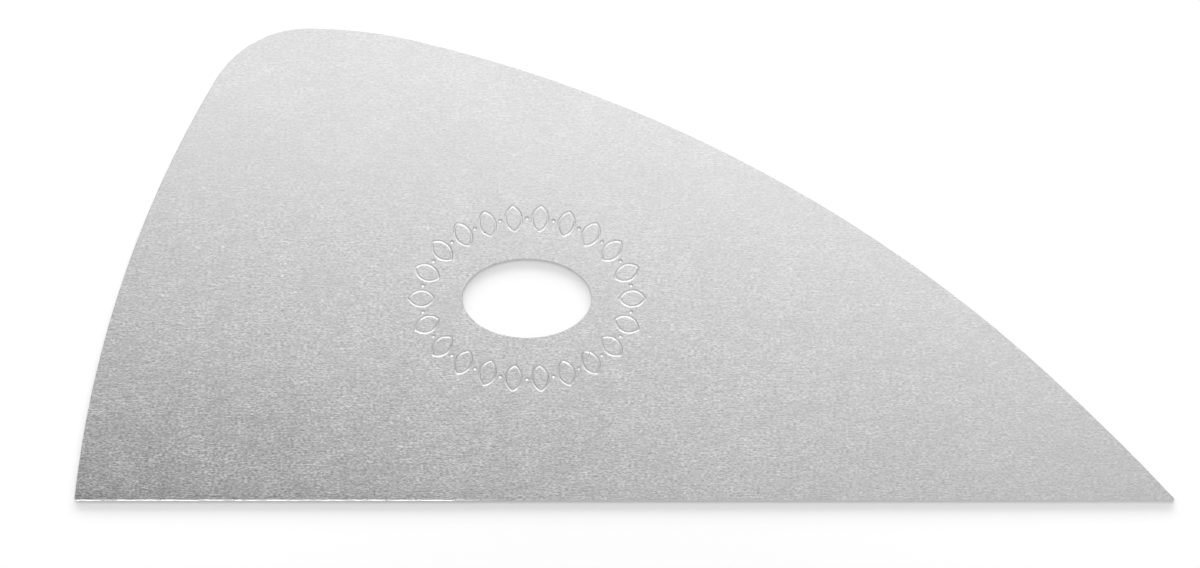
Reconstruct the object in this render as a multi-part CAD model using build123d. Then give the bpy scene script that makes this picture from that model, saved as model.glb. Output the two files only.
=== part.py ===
from build123d import *

import os
from math import asin, atan2, cos, degrees, radians, sin

# Pottery rib: one thin sheet of brushed stainless steel, held flat in the hand to smooth, scrape and
# compress clay. It has a straight base, a leaning heel, a tight shoulder, a long curved back and a
# sharp tip, with an oval hole to hang it by and a plain stamped border of petals and dots round it.
#
# Lengths are in millimetres and angles in degrees. The sheet lies on its back face at z = 0, with
# +X along the base from heel to tip, +Y from the base up to the crown and +Z out of the front face.
# It is drawn from the heel corner and moved at the end, so that the origin is under its middle.

# Sheet
base_length = 140.0          # heel corner to tip, while both are still sharp
height = 60.0                # base to crown
thickness = 0.5

# Outline, clockwise from the heel corner, with slopes measured against the base
heel_slope = 83.9            # heel edge where it leaves the base
shoulder_slope = 59.0        # heel edge where it runs into the shoulder
shoulder_radius = 13.6
crown_radius = 60.4
crown_turn = 13.2            # how far the crown turns down before the back begins
bend_from_tip = 16.0         # the back flattens here for its last stretch
bend_height = 15.8

# Corners and edges
heel_corner_radius = 0.3
tip_radius = 0.2
edge_rounding = 0.08         # between each face and the rim

# Hanging hole, an ellipse
hole_length = 16.4
hole_width = 10.0
hole_from_heel = 57.5        # heel corner to the hole's centre, along the base
hole_above_base = 25.7

# Stamped border, petals and dots in turn on an ellipse round the hole
border_offset = 5.2          # hole's edge to the middle of the border
petal_count = 22
petal_length = 3.2           # tip to tip, pointing at the hole
petal_width = 2.0
dot_width = 0.6
line_width = 0.4
stamp_depth = 0.1

# Limit
rounding_share = 0.8         # the most an edge rounding takes of half the sheet or of a corner's radius


def heel_radius():
    """Radius of the heel edge, which climbs from the base to where the shoulder starts."""
    shoulder_rise = shoulder_radius * (1 - cos(radians(shoulder_slope)))
    return (height - shoulder_rise) / (cos(radians(shoulder_slope)) - cos(radians(heel_slope)))


def sheet_outline():
    """Face of the sheet: a straight base and five arcs, each tangent to the one before."""
    start = (0, 0)
    start_direction = (cos(radians(heel_slope)), sin(radians(heel_slope)))
    bend = (base_length - bend_from_tip, bend_height)
    tip = (base_length, 0)

    heel = JernArc(start, start_direction, heel_radius(), shoulder_slope - heel_slope)
    shoulder = JernArc(heel @ 1, heel % 1, shoulder_radius, -shoulder_slope)
    crown = JernArc(shoulder @ 1, shoulder % 1, crown_radius, -crown_turn)
    back = TangentArc(crown @ 1, bend, tangent=crown % 1)
    last_stretch = TangentArc(bend, tip, tangent=back % 1)
    base = Line(tip, start)
    face = make_face([heel, shoulder, crown, back, last_stretch, base])

    heel_corner = face.vertices().sort_by_distance(start)[0]
    face = fillet(heel_corner, heel_corner_radius)
    tip_corner = face.vertices().sort_by_distance(tip)[0]
    return fillet(tip_corner, tip_radius)


def arc_radius(chord, rise):
    """Radius of the arc that spans a chord and rises this far above it."""
    return ((chord / 2) ** 2 + rise ** 2) / (2 * rise)


def petal_tool():
    """Round-bottomed line that follows a pointed oval lying along Y, its middle on the front face."""
    side_radius = arc_radius(petal_length, petal_width / 2)
    side_turn = 2 * degrees(asin(petal_length / 2 / side_radius))
    groove_radius = arc_radius(line_width, stamp_depth)
    side = Torus(side_radius, groove_radius, major_angle=side_turn, align=None)
    side = Pos(X=petal_width / 2 - side_radius) * Rot(Z=-side_turn / 2) * side
    tool = side + Rot(Z=180) * side
    tool += Pos(Y=petal_length / 2) * Sphere(groove_radius)
    tool += Pos(Y=-petal_length / 2) * Sphere(groove_radius)
    return Pos(Z=groove_radius - stamp_depth) * tool


def dot_tool():
    """Ball that leaves a round dimple in the front face."""
    dot_radius = arc_radius(dot_width, stamp_depth)
    return Pos(Z=dot_radius - stamp_depth) * Sphere(dot_radius)


def border_tools():
    """Petals and dots evenly spaced round the hole, each petal pointing at the hole's edge."""
    border = Edge.make_ellipse(hole_length / 2 + border_offset, hole_width / 2 + border_offset)
    stamps = [petal_tool(), dot_tool()]
    station_count = len(stamps) * petal_count
    tools = []
    for station in range(station_count):
        place = border.position_at(station / station_count)
        along = border.tangent_at(station / station_count)
        turn = degrees(atan2(along.Y, along.X))
        at_place = Pos(hole_from_heel + place.X, hole_above_base + place.Y, thickness)
        tools.append(at_place * Rot(Z=turn) * stamps[station % len(stamps)])
    return tools


def rib_blade():
    """The sheet, drawn from the heel corner."""
    hole = Pos(hole_from_heel, hole_above_base) * Ellipse(hole_length / 2, hole_width / 2)
    blade = extrude(sheet_outline() - hole, thickness)
    rims = blade.edges().group_by(Axis.Z)
    tightest = min(thickness / 2, heel_corner_radius, tip_radius)
    blade = fillet(rims[0] + rims[-1], min(edge_rounding, rounding_share * tightest))
    return blade - border_tools()


blade = rib_blade()
middle = blade.bounding_box().center()
blade = Pos(-middle.X, -middle.Y) * blade
blade.label = "rib_blade"

os.makedirs("parts", exist_ok=True)
export_step(blade, "parts/rib_blade.step")

box = blade.bounding_box()
print("box", box.min, box.max)
print("heel radius", round(heel_radius(), 2))
print("hole centre", round(hole_from_heel - middle.X, 3), round(hole_above_base - middle.Y, 3))
print("volume", round(blade.volume, 1), "valid", blade.is_valid)
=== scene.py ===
from math import cos, pi, radians, sin

import bmesh
import bpy
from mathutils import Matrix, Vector, noise


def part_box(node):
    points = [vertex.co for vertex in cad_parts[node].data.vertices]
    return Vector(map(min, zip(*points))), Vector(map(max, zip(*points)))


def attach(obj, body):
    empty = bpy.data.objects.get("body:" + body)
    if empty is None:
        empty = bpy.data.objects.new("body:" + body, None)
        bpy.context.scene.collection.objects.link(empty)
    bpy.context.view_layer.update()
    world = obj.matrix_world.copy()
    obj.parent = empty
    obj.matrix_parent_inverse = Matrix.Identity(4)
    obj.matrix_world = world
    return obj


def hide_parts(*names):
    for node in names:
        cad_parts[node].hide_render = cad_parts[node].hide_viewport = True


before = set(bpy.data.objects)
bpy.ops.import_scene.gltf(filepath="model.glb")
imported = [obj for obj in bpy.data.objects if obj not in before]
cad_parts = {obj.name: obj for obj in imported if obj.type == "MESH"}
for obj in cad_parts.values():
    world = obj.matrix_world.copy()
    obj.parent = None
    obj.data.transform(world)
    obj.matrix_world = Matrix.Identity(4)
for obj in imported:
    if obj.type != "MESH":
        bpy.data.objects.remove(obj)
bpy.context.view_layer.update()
bpy.ops.object.select_all(action="DESELECT")


# Camera. The blade lies flat and is seen straight from above through a long lens, so its outline
# stays true. The frame is wider than the blade, which sits a little to the right and high in it.
MM = 0.001
FRAME_WIDTH = 1200.0                # of the photograph, in its own pixels
FRAME_HEIGHT = 568.0
HEEL_LEFT = 74.5                    # from its left side to the heel corner
BASE_DOWN = 500.8                   # from its top to the base
BLADE_ACROSS = 1099.9               # heel to tip
CAMERA_HEIGHT = 900 * MM
CLIP_START = 10 * MM
CLIP_END = 20.0

blade_low, blade_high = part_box("rib_blade")
pixel = (blade_high.x - blade_low.x) / BLADE_ACROSS
bpy.ops.object.camera_add(location=(
    blade_low.x + (FRAME_WIDTH / 2 - HEEL_LEFT) * pixel,
    blade_low.y + (BASE_DOWN - FRAME_HEIGHT / 2) * pixel,
    CAMERA_HEIGHT))
camera = bpy.context.object
camera.name = "camera"
face_distance = CAMERA_HEIGHT - blade_high.z
camera.data.lens = camera.data.sensor_width * face_distance / (FRAME_WIDTH * pixel)
camera.data.clip_start = CLIP_START
camera.data.clip_end = CLIP_END
bpy.context.scene.camera = camera


# Blade. One sheet of stainless steel, blanked from rolled stock, with its oval hole and its stamped
# border. It is the CAD sheet with one thing added: grinding the base straight has turned up a low,
# ragged burr along its heel half, with a slight hollow behind it.
CLOSE = 0.0002 * MM                 # places nearer than this to each other are the same
MERGE = 0.001 * MM
ROUNDING = 0.08 * MM                # between the face and the rim, which the burr fills
HOLLOW_END = 2.1 * MM               # from the rim, where the face is flat again
HOLLOW_DEPTH = 0.03 * MM            # below the unbroken burr
BURR_WIDTH = 0.16 * MM              # of the flank behind the crest
BURR_NARROWEST = 0.3                # least share of that width
BURR_CREST = 0.72                   # mean share of its height that hasn't broken away
FILLING = 1.6                       # share of the rounding that a full burr would fill
BURR_STRIP = 2.6 * MM               # from the rim, cut finely enough for the burr
BURR_ROWS = (                       # where it is cut, in mm from the rim
    0.11, 0.14, 0.17, 0.2, 0.23, 0.26, 0.3, 0.35, 0.42, 0.52, 0.7, 1.0, 1.4, 2.1)
BURR_CUTS = (27, 24)                # each row is cut along the base, and then each piece again
LONG_EDGE = 1.0 * MM                # a shorter one isn't cut
BURR_ALONG = (                      # distance from the heel in mm, and share of the full burr
    (0, 2.6), (1, 2.2), (2, 0.85), (18, 0.8), (20, 1.0), (24, 0.85), (34, 0.85), (46, 0.7),
    (52, 0.5), (62, 0.15), (75, 0.0))
# unevenness along the base: strength, length of a wave in mm, and a place in the noise
HOLLOW_WAVES = ((0.3, 6.0, 5.3),)
BURR_RAGGED = ((0.8, 1.3, 3.1), (0.7, 0.5, 8.7))
BURR_BROKEN = ((0.5, 1.1, 6.4), (0.5, 0.45, 2.9))
SHARP_ANGLE = 30                    # degrees between faces, past which an edge shows

blade = bpy.data.objects.new("rib_sheet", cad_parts["rib_blade"].data.copy())
bpy.context.scene.collection.objects.link(blade)
bpy.context.view_layer.objects.active = blade
blade.select_set(True)


def select(piece, kind, passes):
    """In edit mode, selects the faces or edges that pass a test, and nothing else."""
    bpy.ops.mesh.select_mode(type=kind)
    bpy.ops.mesh.select_all(action="DESELECT")
    shape = bmesh.from_edit_mesh(piece.data)
    for element in shape.faces if kind == "FACE" else shape.edges:
        if passes(element):
            element.select_set(True)
    shape.select_flush_mode()
    bmesh.update_edit_mesh(piece.data)


def on_top(element):
    """Whether all of it lies in the flat front face."""
    return all(abs(v.co.z - blade_high.z) < CLOSE for v in element.verts)


def near_base(element, reach):
    """Whether all of it lies nearer to the base's rim than this."""
    return all(v.co.y < blade_low.y + reach + CLOSE for v in element.verts)


def near_front(element):
    """Whether all of it lies in the front face or the rounding below it."""
    return all(v.co.z > blade_high.z - ROUNDING - CLOSE for v in element.verts)


def in_strip(face):
    """Whether a face belongs to the strip of the front face that carries the burr."""
    return on_top(face) and near_base(face, BURR_STRIP)


def in_rounding(face):
    """Whether a face belongs to the rounding between the front face and the base's rim."""
    return near_base(face, ROUNDING) and near_front(face)


def along_burr(edge):
    """Whether an edge runs along the base, within the hollow's reach, and is long enough to cut."""
    first, second = (v.co.y - blade_low.y for v in edge.verts)
    level = abs(first - second) < CLOSE and first < HOLLOW_END + CLOSE
    return near_front(edge) and level and edge.calc_length() > LONG_EDGE


def cut_along_base(inset):
    """Cuts the selected faces along a line at this distance from the base's rim."""
    bpy.ops.mesh.bisect(
        plane_co=(0, blade_low.y + inset, 0), plane_no=(0, 1, 0), threshold=CLOSE)


bpy.ops.object.mode_set(mode="EDIT")
bpy.ops.mesh.select_all(action="SELECT")
bpy.ops.mesh.remove_doubles(threshold=MERGE)
bpy.ops.mesh.customdata_custom_splitnormals_clear()
select(blade, "FACE", on_top)
cut_along_base(BURR_STRIP)
select(blade, "FACE", in_strip)
bpy.ops.mesh.dissolve_faces()
for row in BURR_ROWS:
    select(blade, "FACE", in_strip)
    cut_along_base(row * MM)
select(blade, "FACE", in_rounding)
bpy.ops.mesh.tris_convert_to_quads(face_threshold=pi, shape_threshold=pi)
for cuts in BURR_CUTS:
    select(blade, "EDGE", along_burr)
    bpy.ops.mesh.subdivide(number_cuts=cuts)
bpy.ops.object.mode_set(mode="OBJECT")


def burr_share(along):
    """Share of the full burr at a distance from the heel, in mm."""
    for (start, share), (end, next_share) in zip(BURR_ALONG, BURR_ALONG[1:]):
        if along <= end:
            return share + (next_share - share) * (along - start) / (end - start)
    return 0.0


def uneven(along, waves):
    """Sum of a few waves of noise at a distance from the heel, in mm."""
    return sum(strength * noise.noise(Vector((along / length, spot, 0)))
               for strength, length, spot in waves)


def hollow_depth(along, inset):
    """How far the face is lowered, along being mm from the heel and inset metres from the rim."""
    depth = HOLLOW_DEPTH * burr_share(along) * (1 + uneven(along, HOLLOW_WAVES))
    width = BURR_WIDTH * max(BURR_NARROWEST, 1 + uneven(along, BURR_RAGGED))
    crest = min(1.0, max(0.0, BURR_CREST + uneven(along, BURR_BROKEN)))
    if inset < width:
        return depth * (1 - crest * (1 - inset / width))
    return depth * (1 - (inset - width) / (HOLLOW_END - width)) ** 2


for vertex in blade.data.vertices:
    place = vertex.co
    if place.z > blade_high.z - ROUNDING + CLOSE and place.y < blade_low.y + HOLLOW_END:
        along = (place.x - blade_low.x) / MM
        filled = min(1.0, FILLING * burr_share(along))
        place.z += filled * (blade_high.z - place.z)
        place.z -= hollow_depth(along, place.y - blade_low.y)
bpy.ops.object.shade_smooth_by_angle(angle=radians(SHARP_ANGLE))
bpy.ops.object.modifier_add(type="WEIGHTED_NORMAL")
blade.modifiers[-1].keep_sharp = True
bpy.ops.object.modifier_apply(modifier=blade.modifiers[-1].name)


def linear(hex_colour):
    """Linear RGBA of an sRGB hex colour."""
    channels = [int(hex_colour[i:i + 2], 16) / 255 for i in (1, 3, 5)]
    return [c / 12.92 if c <= 0.04045 else ((c + 0.055) / 1.055) ** 2.4 for c in channels] + [1.0]


def add_node(tree, kind, settings=None, inputs=None, links=None):
    """Adds a shader node, sets its properties and sockets, and links other nodes' outputs to it."""
    node = tree.nodes.new(kind)
    for name, value in (settings or {}).items():
        setattr(node, name, value)
    for socket, value in (inputs or {}).items():
        node.inputs[socket].default_value = value
    for socket, source in (links or {}).items():
        tree.links.new(source, node.inputs[socket])
    return node


# Stainless steel, ground on a fine belt along the base: a satin grey that mirrors nothing clearly,
# smeared across the grinding lines. The grit leaves short fine streaks, deeper towards the heel
# corner and hardly there at the crown, a few brighter flecks, and a faint mottling and cloudiness.
# Real belt grit is finer than a pixel, so the grain is drawn as coarse as it needs to show.
PATTERNS = {
    # size along, across and through the sheet in mm, and then detail, roughness and distortion
    "grain": ((0.42, 0.13, 0.13), 2.0, 0.7, 0.2),
    "streak": ((2.2, 0.16, 0.16), 1.0, 0.5, 0.0),
    "fleck": ((0.9, 0.17, 0.17), 1.0, 0.5, 0.0),
    "mottle": ((2.4, 1.3, 1.3), 2.0, 0.6, 0.0),
    "cloud": ((9.0, 9.0, 9.0), 3.0, 0.5, 0.0),
}
NOISE_LOW, NOISE_HIGH = 0.3, 0.7    # nearly all of a pattern lies between these
MIDDLE = 0.5                        # of a pattern and of the tone
COARSE_REACH = (165 * MM, 45 * MM, 1.0)     # from the heel corner along the base, and up the sheet
COARSE_AT_CORNER = 2.9              # strength of the streaks there
COARSE_FAR_AWAY = 0.7
GRAIN_TONE = 0.98                   # share of the fine grain in the streaks
STREAK_TONE = 0.22                  # and of the longer ones
STREAK_SHIFT = -0.1                 # keeps the two together in the middle
PATCH_TONE = 1.2                    # the streaks are deeper in patches
PATCH_LEAST = 0.4                   # and this deep at least
MOTTLE_TONE = 0.12
FLECK_FROM, FLECK_FULL = 0.64, 0.74         # how much of the sheet is flecked
FLECK_TONE = 0.18
SHADE_PAINTED_FROM = 1.9                     # painted shade: where the streaks are stronger than this, towards the heel corner, the tone is painted darker
# darkest painted shade, at the heel corner
SHADE_PAINTED_DARKEST = -0.17
STEEL_DARK, STEEL_LIGHT = "#a0a0a0", "#ffffff"
STEEL_SMOOTH, STEEL_ROUGH = 0.305, 0.335
GRAIN_HEIGHT = 0.006 * MM
SMEARING = 0.7
GRINDING = (1.0, 0.02, 0.03)        # along the base, and square to no part of the rim

steel = bpy.data.materials.new("ground_stainless_steel")
steel.use_nodes = True
tree = steel.node_tree
tree.nodes.clear()
coordinates = add_node(tree, "ShaderNodeTexCoord").outputs["Object"]
pattern = {}
for name, (size, detail, roughness, distortion) in PATTERNS.items():
    scaled = add_node(
        tree, "ShaderNodeMapping", inputs={"Scale": [1 / (s * MM) for s in size]},
        links={"Vector": coordinates})
    pattern[name] = add_node(
        tree, "ShaderNodeTexNoise",
        inputs={"Scale": 1.0, "Detail": detail, "Roughness": roughness, "Distortion": distortion},
        links={"Vector": scaled.outputs["Vector"]}).outputs["Fac"]
from_corner = add_node(
    tree, "ShaderNodeMapping", {"vector_type": "TEXTURE"},
    {"Location": (blade_low.x, blade_low.y, 0), "Scale": COARSE_REACH}, {"Vector": coordinates})
distance = add_node(
    tree, "ShaderNodeVectorMath", {"operation": "LENGTH"},
    links={0: from_corner.outputs["Vector"]})
coarse = add_node(
    tree, "ShaderNodeMapRange", inputs={"To Min": COARSE_AT_CORNER, "To Max": COARSE_FAR_AWAY},
    links={"Value": distance.outputs["Value"]}).outputs["Result"]

# fine grain and longer streaks together
fine = add_node(
    tree, "ShaderNodeMath", {"operation": "MULTIPLY_ADD"}, {1: GRAIN_TONE, 2: STREAK_SHIFT},
    {0: pattern["grain"]})
grain = add_node(
    tree, "ShaderNodeMath", {"operation": "MULTIPLY_ADD"}, {1: STREAK_TONE},
    {0: pattern["streak"], 2: fine.outputs["Value"]}).outputs["Value"]
# how deep they are: more at the heel corner, and in patches
patches = add_node(
    tree, "ShaderNodeMath", {"operation": "MULTIPLY_ADD"}, {1: PATCH_TONE, 2: PATCH_LEAST},
    {0: pattern["mottle"]})
deep = add_node(
    tree, "ShaderNodeMath", {"operation": "MULTIPLY"},
    links={0: coarse, 1: patches.outputs["Value"]}).outputs["Value"]
centred = add_node(
    tree, "ShaderNodeMath", {"operation": "MULTIPLY_ADD"}, {1: 1.0, 2: -MIDDLE}, {0: grain})
streaks = add_node(
    tree, "ShaderNodeMath", {"operation": "MULTIPLY_ADD"}, {2: MIDDLE},
    {0: centred.outputs["Value"], 1: deep})
# the mottling itself
mottle = add_node(
    tree, "ShaderNodeMath", {"operation": "MULTIPLY_ADD"},
    {1: MOTTLE_TONE, 2: -MOTTLE_TONE * MIDDLE}, {0: pattern["mottle"]})
mottled = add_node(
    tree, "ShaderNodeMath", {"operation": "MULTIPLY_ADD"},
    links={0: mottle.outputs["Value"], 1: coarse, 2: streaks.outputs["Value"]})
# and the brighter flecks
flecks = add_node(
    tree, "ShaderNodeMapRange",
    inputs={"From Min": FLECK_FROM, "From Max": FLECK_FULL, "To Max": FLECK_TONE},
    links={"Value": pattern["fleck"]})
flecked = add_node(
    tree, "ShaderNodeMath", {"operation": "MULTIPLY_ADD"},
    links={0: flecks.outputs["Result"], 1: deep, 2: mottled.outputs["Value"]})
# and painted shade: the tone darker where the streaks are deepest, towards the heel corner
painted_shade = add_node(
    tree, "ShaderNodeMapRange",
    inputs={"From Min": SHADE_PAINTED_FROM, "From Max": COARSE_AT_CORNER, "To Min": 0.0, "To Max": SHADE_PAINTED_DARKEST},
    links={"Value": coarse})
painted_shade_added = add_node(
    tree, "ShaderNodeMath", {"operation": "ADD"},
    links={0: flecked.outputs["Value"], 1: painted_shade.outputs["Result"]})
tone = add_node(tree, "ShaderNodeValToRGB", links={"Fac": painted_shade_added.outputs["Value"]})
tone.color_ramp.elements[0].color = linear(STEEL_DARK)
tone.color_ramp.elements[1].color = linear(STEEL_LIGHT)
dullness = add_node(
    tree, "ShaderNodeMapRange",
    inputs={"From Min": NOISE_LOW, "From Max": NOISE_HIGH,
            "To Min": STEEL_SMOOTH, "To Max": STEEL_ROUGH},
    links={"Value": pattern["cloud"]})
bump = add_node(
    tree, "ShaderNodeBump", inputs={"Strength": 1.0, "Distance": GRAIN_HEIGHT},
    links={"Height": grain})
normal = add_node(tree, "ShaderNodeNewGeometry").outputs["Normal"]
across = add_node(
    tree, "ShaderNodeVectorMath", {"operation": "CROSS_PRODUCT"}, {1: GRINDING}, {0: normal})
shader = add_node(
    tree, "ShaderNodeBsdfPrincipled", inputs={"Metallic": 1.0, "Anisotropic": SMEARING},
    links={"Base Color": tone.outputs["Color"], "Roughness": dullness.outputs["Result"],
           "Normal": bump.outputs["Normal"], "Tangent": across.outputs["Vector"]})
add_node(tree, "ShaderNodeOutputMaterial", links={"Surface": shader.outputs["BSDF"]})

# Burnished steel on the walls of the marks, the burr and the base's edge, where the stamping die
# and the grinding wheel have rubbed the sheet smooth. It is the same steel, smoother, with no
# streaks, only slightly uneven, and painted lighter, which paints the bright highlight that these
# faces show.
RUBBED_SIZE = 0.5 * MM
RUBBED_DETAIL = 2.0
# painted highlight: lighter than the ground steel, so these faces shine brighter
RUBBED_HIGHLIGHT_COLOUR = "#f6f6f6"
RUBBED_SMOOTH, RUBBED_ROUGH = 0.26, 0.34
HOLE_MIDDLE = Vector((-12.386 * MM, -4.3 * MM))
MARKS_REACH = (15.6 * MM, 12.4 * MM)        # half sizes of an oval round it that holds the border
HOLE_REACH = (9.2 * MM, 6.0 * MM)           # and of one just outside the hole's rim
HIGHLIGHT_STRIP_WIDTH = 0.26 * MM            # of the strip behind the burr that is painted lighter as a highlight, from the rim
HIGHLIGHT_STRIP_LENGTH = 58 * MM             # and how far it runs from the heel

burnished_highlight = bpy.data.materials.new("burnished_highlight_stainless_steel")
burnished_highlight.use_nodes = True
tree = burnished_highlight.node_tree
tree.nodes.clear()
coordinates = add_node(tree, "ShaderNodeTexCoord").outputs["Object"]
scaled = add_node(
    tree, "ShaderNodeMapping", inputs={"Scale": [1 / RUBBED_SIZE] * 3},
    links={"Vector": coordinates})
rubbed = add_node(
    tree, "ShaderNodeTexNoise", inputs={"Scale": 1.0, "Detail": RUBBED_DETAIL},
    links={"Vector": scaled.outputs["Vector"]})
shine = add_node(
    tree, "ShaderNodeMapRange",
    inputs={"From Min": NOISE_LOW, "From Max": NOISE_HIGH,
            "To Min": RUBBED_SMOOTH, "To Max": RUBBED_ROUGH},
    links={"Value": rubbed.outputs["Fac"]})
shader = add_node(
    tree, "ShaderNodeBsdfPrincipled",
    inputs={"Base Color": linear(RUBBED_HIGHLIGHT_COLOUR), "Metallic": 1.0},
    links={"Roughness": shine.outputs["Result"]})
add_node(tree, "ShaderNodeOutputMaterial", links={"Surface": shader.outputs["BSDF"]})


def within(place, reach):
    """Whether a place is inside an oval round the hole's middle."""
    return (((place.x - HOLE_MIDDLE.x) / reach[0]) ** 2
            + ((place.y - HOLE_MIDDLE.y) / reach[1]) ** 2) < 1


def is_rubbed_highlight(face):
    """Whether a face belongs to the marks' walls, the burr or the rounded edge of the base, which
    get the lighter steel of the painted highlight.
    """
    place = face.calc_center_median()
    if place.z < blade_high.z / 2:
        return False
    if not on_top(face) and within(place, MARKS_REACH) and not within(place, HOLE_REACH):
        return True
    width = HIGHLIGHT_STRIP_WIDTH if place.x < blade_low.x + HIGHLIGHT_STRIP_LENGTH else ROUNDING
    return place.y < blade_low.y + width


blade.data.materials.clear()
blade.data.materials.append(steel)
blade.data.materials.append(burnished_highlight)
# the lighter steel of the painted highlight goes on the marks' walls, the burr and the base's edge
bpy.ops.object.mode_set(mode="EDIT")
select(blade, "FACE", is_rubbed_highlight)
blade.active_material_index = blade.data.materials.find(burnished_highlight.name)
bpy.ops.object.material_slot_assign()
bpy.ops.object.mode_set(mode="OBJECT")
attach(blade, "root")
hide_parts("rib_blade")


# Floor. A plain white table top of matt laminate, which keeps the blade's soft shadow. It glows a
# little, and only to the eye and in mirrors, so that it shows as white without lighting the blade.
FLOOR_SIZE = 8.0
FLOOR_DROP = 0.01 * MM              # keeps the two faces from lying in one plane
FLOOR_COLOUR = "#f4f4f4"
FLOOR_GLOW = (                      # metres from the middle, and strength
    (0.03, 0.11), (0.09, 0.16), (0.25, 0.27), (0.9, 0.45))

bpy.ops.object.select_all(action="DESELECT")
bpy.ops.mesh.primitive_plane_add(size=FLOOR_SIZE, location=(0, 0, -FLOOR_DROP))
floor = bpy.context.object
floor.name = "floor"
white = bpy.data.materials.new("white_table")
white.use_nodes = True
tree = white.node_tree
tree.nodes.clear()
coordinates = add_node(tree, "ShaderNodeTexCoord").outputs["Object"]
from_middle = add_node(
    tree, "ShaderNodeVectorMath", {"operation": "LENGTH"}, links={0: coordinates})
glow = add_node(tree, "ShaderNodeValToRGB", links={"Fac": from_middle.outputs["Value"]})
for stop, strength in FLOOR_GLOW:
    glow.color_ramp.elements.new(stop).color = (strength, strength, strength, 1.0)
glow.color_ramp.elements.remove(glow.color_ramp.elements[0])
glow.color_ramp.elements.remove(glow.color_ramp.elements[-1])
path = add_node(tree, "ShaderNodeLightPath").outputs
mirrored = add_node(
    tree, "ShaderNodeMath", {"operation": "MAXIMUM"},
    links={0: path["Is Glossy Ray"], 1: path["Is Transmission Ray"]})
seen = add_node(
    tree, "ShaderNodeMath", {"operation": "MAXIMUM"},
    links={0: path["Is Camera Ray"], 1: mirrored.outputs["Value"]})
seen_glow = add_node(
    tree, "ShaderNodeMath", {"operation": "MULTIPLY"},
    links={0: seen.outputs["Value"], 1: glow.outputs["Color"]})
glowing = add_node(
    tree, "ShaderNodeEmission", links={"Strength": seen_glow.outputs["Value"]})
matt = add_node(tree, "ShaderNodeBsdfDiffuse", inputs={"Color": linear(FLOOR_COLOUR)})
both = add_node(
    tree, "ShaderNodeAddShader",
    links={0: matt.outputs["BSDF"], 1: glowing.outputs["Emission"]})
add_node(tree, "ShaderNodeOutputMaterial", links={"Surface": both.outputs["Shader"]})
floor.data.materials.append(white)


# Room. White walls that are lighter than the ceiling, and the two beyond the crown and the base
# are lightest half way up, which is what the steel mirrors from the front and from behind.
ROOM_COLOUR = "#ffffff"
WALL_LIGHT = 0.58
CEILING_LIGHT = 0.2
WALL_TOP, CEILING_EDGE = 0.35, 0.8  # sines of elevation, between which the one turns to the other
HALF_WAY_LIGHT = 0.2                # added half way up
HALF_WAY_FROM, HALF_WAY_FULL = 0.15, 0.5    # sine of elevation times how far it faces the base

world = bpy.data.worlds.new("studio")
bpy.context.scene.world = world
world.use_nodes = True
tree = world.node_tree
tree.nodes.clear()
direction = add_node(tree, "ShaderNodeTexCoord").outputs["Generated"]
axes = add_node(tree, "ShaderNodeSeparateXYZ", links={"Vector": direction}).outputs
room = add_node(
    tree, "ShaderNodeMapRange", {"interpolation_type": "SMOOTHSTEP"},
    {"From Min": WALL_TOP, "From Max": CEILING_EDGE, "To Min": WALL_LIGHT, "To Max": CEILING_LIGHT},
    {"Value": axes["Z"]})
facing = add_node(tree, "ShaderNodeMath", {"operation": "ABSOLUTE"}, links={0: axes["Y"]})
half_way = add_node(
    tree, "ShaderNodeMath", {"operation": "MULTIPLY"},
    links={0: facing.outputs["Value"], 1: axes["Z"]})
wall = add_node(
    tree, "ShaderNodeMapRange", {"interpolation_type": "SMOOTHSTEP"},
    {"From Min": HALF_WAY_FROM, "From Max": HALF_WAY_FULL, "To Min": 0.0, "To Max": HALF_WAY_LIGHT},
    {"Value": half_way.outputs["Value"]})
light = add_node(
    tree, "ShaderNodeMath", {"operation": "ADD"},
    links={0: room.outputs["Result"], 1: wall.outputs["Result"]})
sky = add_node(
    tree, "ShaderNodeBackground", inputs={"Color": linear(ROOM_COLOUR)},
    links={"Strength": light.outputs["Value"]})
add_node(tree, "ShaderNodeOutputWorld", links={"Surface": sky.outputs["Background"]})


# Lamps. Two low softboxes behind the crown throw the soft shadow below the base, and a raised one
# lights the far walls of the marks. The steel mirrors the raised one and the strip overhead only,
# which stands over the crown, a little turned, and makes the sheet lighter there.
LAMP_DISTANCE = 0.9
LAMPS_BEHIND = (
    # name, elevation, width, height, radiance, mirrored by the steel
    ("key_low", 15.5, 1.4, 0.24, 10.4, False),
    ("key_middle", 27, 1.0, 0.12, 2.8, False),
    ("raised_strip", 57, 1.0, 0.16, 3.9, True),
)
OVERHEAD_PLACE = (0.002, 0.046, 0.3)
OVERHEAD_TURN = -11.4
OVERHEAD_LENGTH = 0.262
OVERHEAD_WIDTH = 0.044
OVERHEAD_RADIANCE = 3.5


def softbox(name, place, rotation, width, height, radiance, mirrored):
    """Adds an area lamp that the camera doesn't see."""
    bpy.ops.object.light_add(type="AREA", location=place, rotation=rotation)
    lamp = bpy.context.object
    lamp.name = name
    lamp.data.shape = "RECTANGLE"
    lamp.data.size = width
    lamp.data.size_y = height
    lamp.data.energy = radiance * pi * width * height
    lamp.visible_camera = False
    lamp.visible_glossy = mirrored


for name, elevation, width, height, radiance, mirrored in LAMPS_BEHIND:
    rise = radians(elevation)
    place = Vector((0, LAMP_DISTANCE * cos(rise), LAMP_DISTANCE * sin(rise)))
    towards_blade = (-place).to_track_quat("-Z", "Y").to_euler()
    softbox(name, place, towards_blade, width, height, radiance, mirrored)
softbox("overhead_strip", OVERHEAD_PLACE, (0, 0, radians(OVERHEAD_TURN)),
        OVERHEAD_LENGTH, OVERHEAD_WIDTH, OVERHEAD_RADIANCE, True)

bpy.context.scene.view_settings.view_transform = "Standard"
